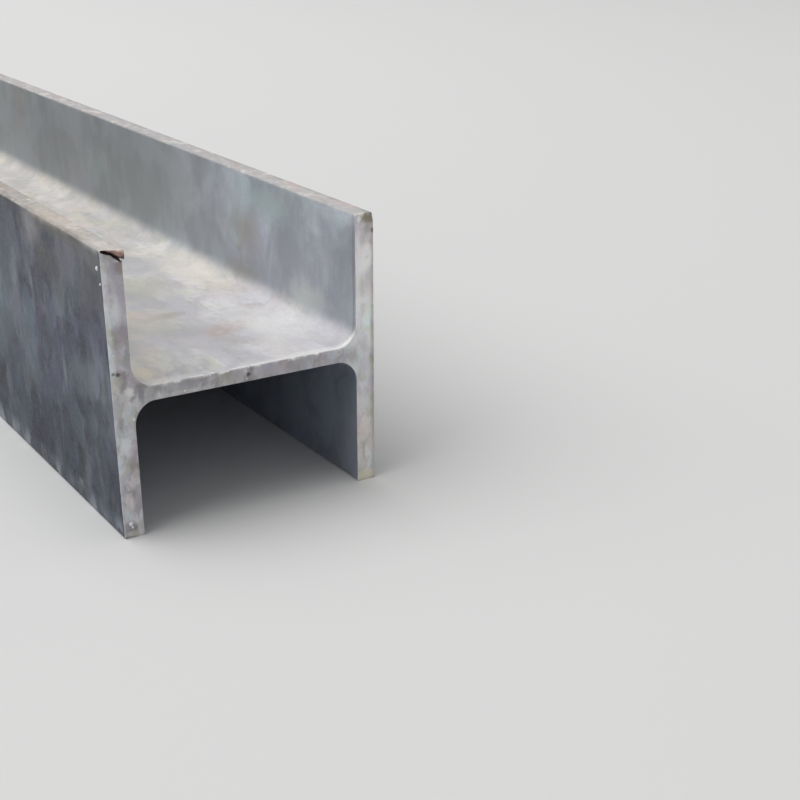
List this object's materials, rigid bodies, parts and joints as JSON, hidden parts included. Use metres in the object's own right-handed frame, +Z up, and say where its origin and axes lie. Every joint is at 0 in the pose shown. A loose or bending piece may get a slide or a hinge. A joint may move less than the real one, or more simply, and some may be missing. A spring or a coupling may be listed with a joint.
{
  "type": "steel i-beam",
  "caption": "Straight rolled steel beam of H-shaped section: parallel flanges joined by a central web with rounded roots, cut square at each end, for framing and bearing loads.",
  "frame": {"origin": "centre of the underside: midway along the bar, midway between the flanges, at the level of the flange tips it lies on", "axes": "+Y along the bar away from the end seen in the picture, +X across the section from flange to flange, +Z up, square to the level web"},
  "size_m": [0.125, 6, 0.125],
  "materials": {
    "mill_steel": "mill finish: dull blue-grey rolling scale, pale dusty upper faces, lighter sawn ends, a little rust"
  },
  "bodies": {
    "root": {"i_beam": "mill_steel"}
  },
  "joints": []
}
